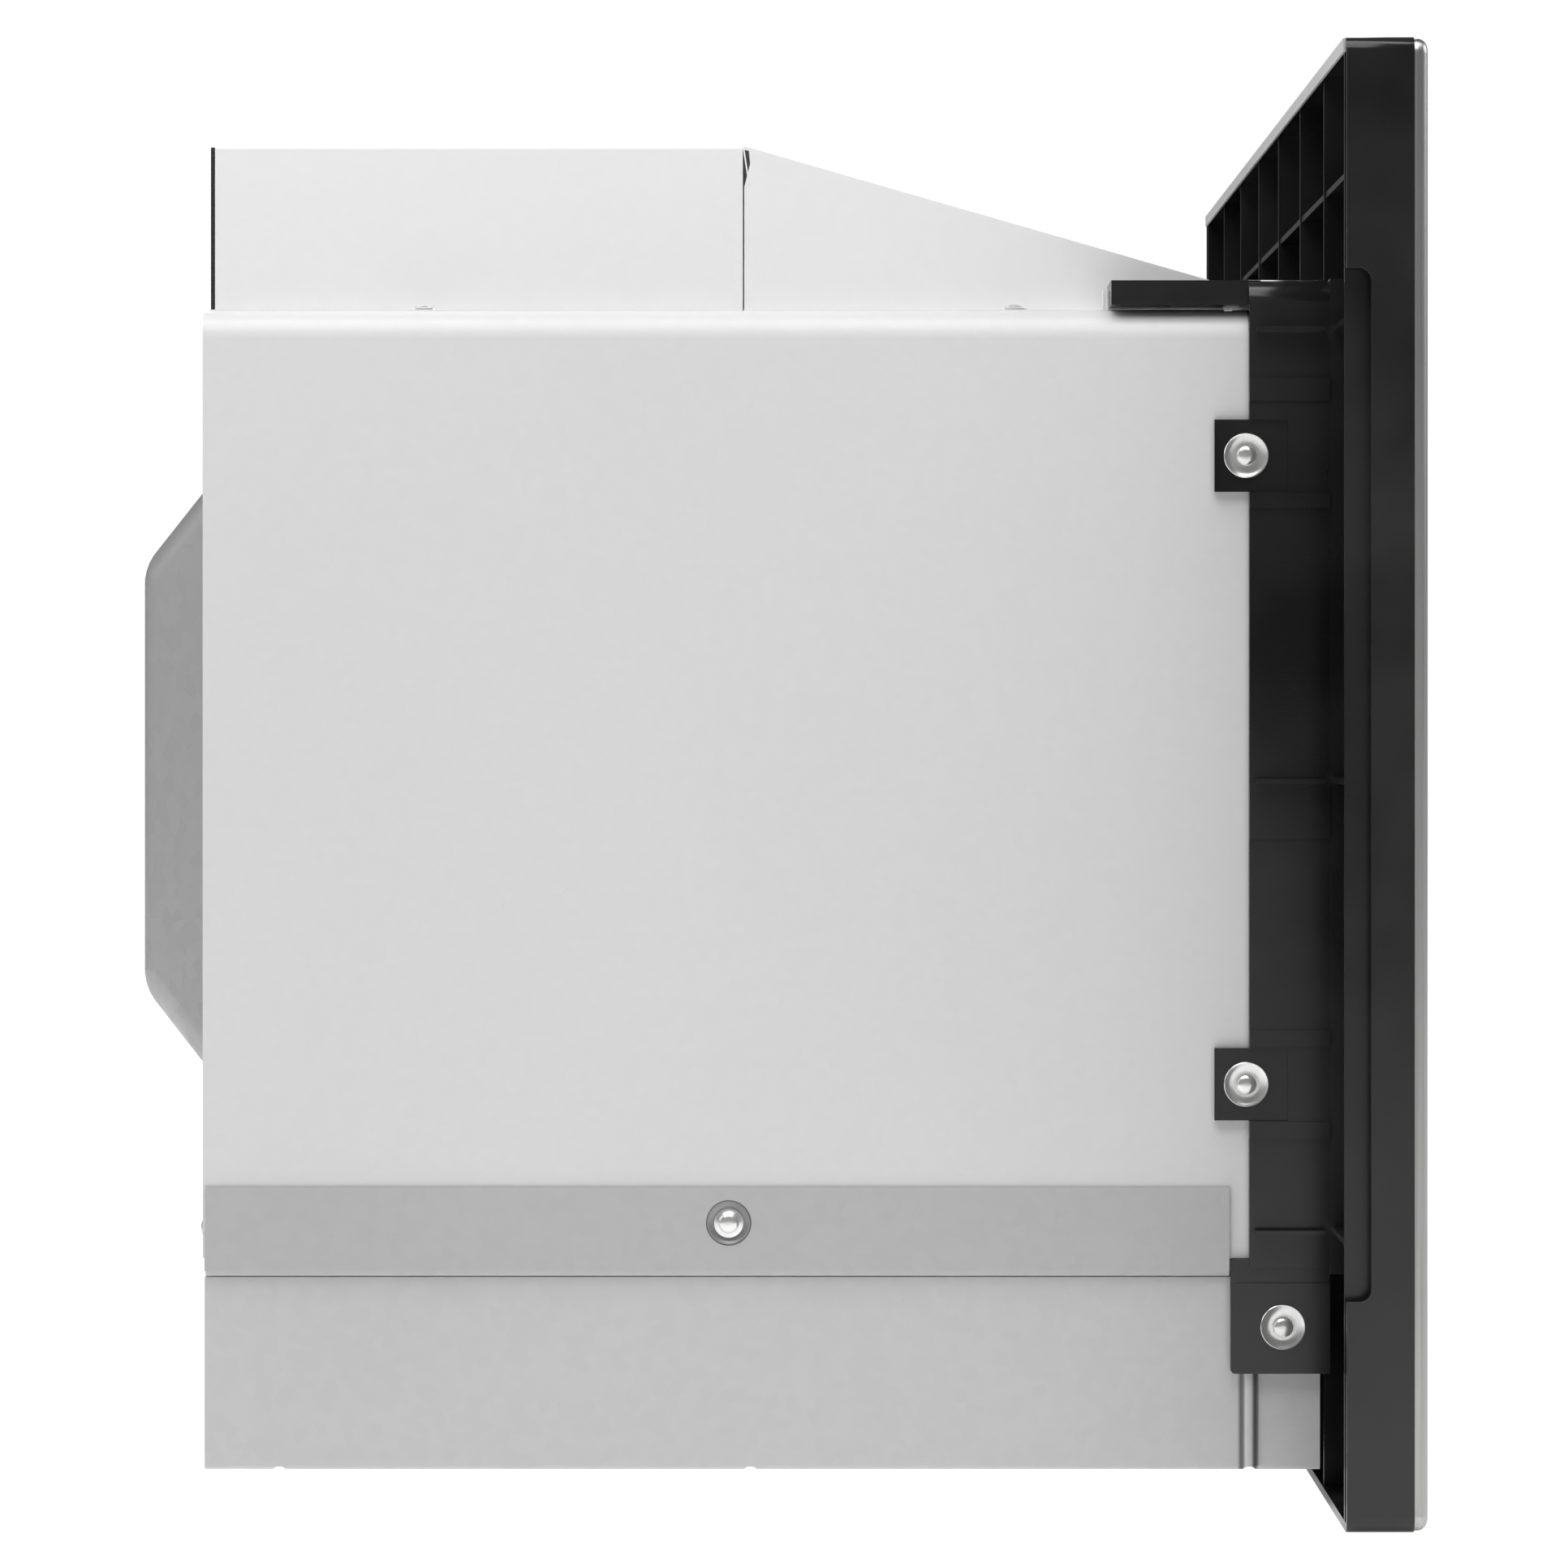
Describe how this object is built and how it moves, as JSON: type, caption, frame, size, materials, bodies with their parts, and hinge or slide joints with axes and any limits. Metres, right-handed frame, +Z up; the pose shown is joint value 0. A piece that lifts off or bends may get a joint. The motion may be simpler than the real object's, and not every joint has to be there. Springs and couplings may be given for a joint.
{
  "type": "built-in microwave oven",
  "caption": "Microwave oven cabinet for a wall cut-out: broad front trim, side-hinged door with push button, ribbed trim back, air duct on top and base pan below.",
  "frame": {"origin": "centre of the base pan's flat underside, which rests on the cut-out's shelf", "axes": "+Z up, -Y out of the front towards the person using it, +X to that person's right"},
  "size_m": [0.756, 0.4378, 0.485],
  "materials": {
    "wrapper_steel": "satin",
    "galvanised_steel": "satin",
    "pan_steel": "satin",
    "cavity_enamel": "satin",
    "gasket_rubber": "matte",
    "collar_plastic": "gloss",
    "trim_plastic": "satin",
    "trim_steel": "brushed",
    "seal_foam": "matte",
    "grille_plastic": "matte",
    "door_plastic": "satin",
    "dark_glass": "gloss",
    "door_steel": "satin",
    "screen_steel": "matte",
    "choke_plastic": "satin",
    "clear_film": "gloss",
    "acetal": "satin",
    "hinge_steel": "satin",
    "fascia_plastic": "satin",
    "display_plastic": "gloss",
    "board_laminate": "satin",
    "button_plastic": "satin",
    "spring_steel": "satin",
    "switch_plastic": "matte",
    "tray_glass": "gloss",
    "ring_plastic": "satin",
    "motor_steel": "satin",
    "mica": "satin",
    "yoke_steel": "satin",
    "fin_aluminium": "satin",
    "tube_copper": "satin",
    "lamination": "matte",
    "copper_winding": "satin",
    "can_aluminium": "satin",
    "shroud_plastic": "satin",
    "lamp_glass": "gloss",
    "cutout_ceramic": "matte",
    "gland_rubber": "matte",
    "screw_zinc": "satin"
  },
  "bodies": {
    "cabinet": {"cabinet_wrapper": "wrapper_steel", "rear_panel": "galvanised_steel", "front_plate": "galvanised_steel", "base_plate": "galvanised_steel", "exhaust_duct_box": "galvanised_steel", "exhaust_duct_hood": "galvanised_steel", "waveguide": "galvanised_steel", "latch_bracket": "galvanised_steel", "base_pan": "pan_steel", "cavity_liner": "cavity_enamel", "duct_rear_gasket": "gasket_rubber", "duct_collar": "collar_plastic", "trim_frame": "trim_plastic", "trim_face": "trim_steel", "trim_top_seal": "seal_foam", "vent_grille": "grille_plastic", "keypad_glass": "dark_glass", "hinge_brackets": "hinge_steel", "control_fascia": "fascia_plastic", "display_module": "display_plastic", "control_board": "board_laminate", "noise_filter_board": "board_laminate", "button_spring": "spring_steel", "interlock_switches": "switch_plastic", "turntable_motor": "motor_steel", "fan_motor": "motor_steel", "waveguide_cover": "mica", "magnetron_yoke": "yoke_steel", "magnetron_fins": "fin_aluminium", "magnetron_tube": "tube_copper", "transformer_core": "lamination", "transformer_windings": "copper_winding", "hv_capacitor": "can_aluminium", "fan_shroud": "shroud_plastic", "lamp_holder": "shroud_plastic", "cavity_lamp": "lamp_glass", "thermal_cutout": "cutout_ceramic", "cord_gland": "gland_rubber", "collar_screws": "screw_zinc", "collar_washers": "screw_zinc", "duct_screws": "screw_zinc", "base_screws": "screw_zinc", "rear_screws": "screw_zinc"},
    "door": {"door_frame": "door_plastic", "door_glass": "dark_glass", "door_choke_panel": "door_steel", "door_screen": "screen_steel", "door_choke_cover": "choke_plastic", "door_inner_film": "clear_film"},
    "latch_key": {"door_latch_key": "acetal"},
    "button": {"door_button": "button_plastic"},
    "lever": {"release_lever": "acetal"},
    "tray": {"glass_tray": "tray_glass"},
    "ring": {"roller_ring": "ring_plastic"},
    "roller_a": {"roller_1": "acetal"},
    "roller_b": {"roller_2": "acetal"},
    "roller_c": {"roller_3": "acetal"},
    "coupler": {"turntable_coupler": "acetal"},
    "fan": {"fan_blade": "shroud_plastic"}
  },
  "joints": [
    {"name": "door_swing", "type": "hinge", "parent": "cabinet", "child": "door", "pos_m": [-0.285, -0.2095, 0.229], "axis": [0, 0, -1], "range_deg": [0, 105]},
    {"name": "door_button_press", "type": "slide", "parent": "cabinet", "child": "button", "axis": [0, 1, 0], "range_m": [0, 0.005], "stiffness_N_per_m": 400, "springref_m": -0.002, "deforming": ["button_spring"]},
    {"name": "latch_key_lift", "type": "slide", "parent": "door", "child": "latch_key", "axis": [0, 0, 1], "range_m": [0, 0.004]},
    {"name": "release_lever_turn", "type": "hinge", "parent": "cabinet", "child": "lever", "pos_m": [0.1333, -0.165, 0.113], "axis": [1, 0, 0], "range_deg": [0, 20]},
    {"name": "tray_spin", "type": "hinge", "parent": "cabinet", "child": "tray", "pos_m": [-0.083, 0.0075, 0.107], "axis": [0, 0, 1], "continuous": true},
    {"name": "coupler_spin", "type": "hinge", "parent": "cabinet", "child": "coupler", "pos_m": [-0.083, 0.0075, 0.095], "axis": [0, 0, 1], "continuous": true},
    {"name": "ring_spin", "type": "hinge", "parent": "cabinet", "child": "ring", "pos_m": [-0.083, 0.0075, 0.0995], "axis": [0, 0, 1], "continuous": true},
    {"name": "roller_a_spin", "type": "hinge", "parent": "ring", "child": "roller_a", "pos_m": [-0.083, 0.1025, 0.0995], "axis": [0, 1, 0], "continuous": true},
    {"name": "roller_b_spin", "type": "hinge", "parent": "ring", "child": "roller_b", "pos_m": [-0.16527, -0.04, 0.0995], "axis": [-0.866, -0.5, 0], "continuous": true},
    {"name": "roller_c_spin", "type": "hinge", "parent": "ring", "child": "roller_c", "pos_m": [-0.00073, -0.04, 0.0995], "axis": [0.866, -0.5, 0], "continuous": true},
    {"name": "fan_spin", "type": "hinge", "parent": "cabinet", "child": "fan", "pos_m": [0.214, 0.166, 0.262], "axis": [0, 1, 0], "continuous": true}
  ],
  "couplings": [
    {"joint": "latch_key_lift", "follows": "door_button_press", "ratio": 0.8},
    {"joint": "release_lever_turn", "follows": "door_button_press", "rad_per_m": 66.667},
    {"joint": "coupler_spin", "follows": "tray_spin", "ratio": 1},
    {"joint": "ring_spin", "follows": "tray_spin", "ratio": 0.5},
    {"joint": "roller_a_spin", "follows": "tray_spin", "ratio": -6.4189},
    {"joint": "roller_b_spin", "follows": "tray_spin", "ratio": -6.4189},
    {"joint": "roller_c_spin", "follows": "tray_spin", "ratio": -6.4189}
  ]
}
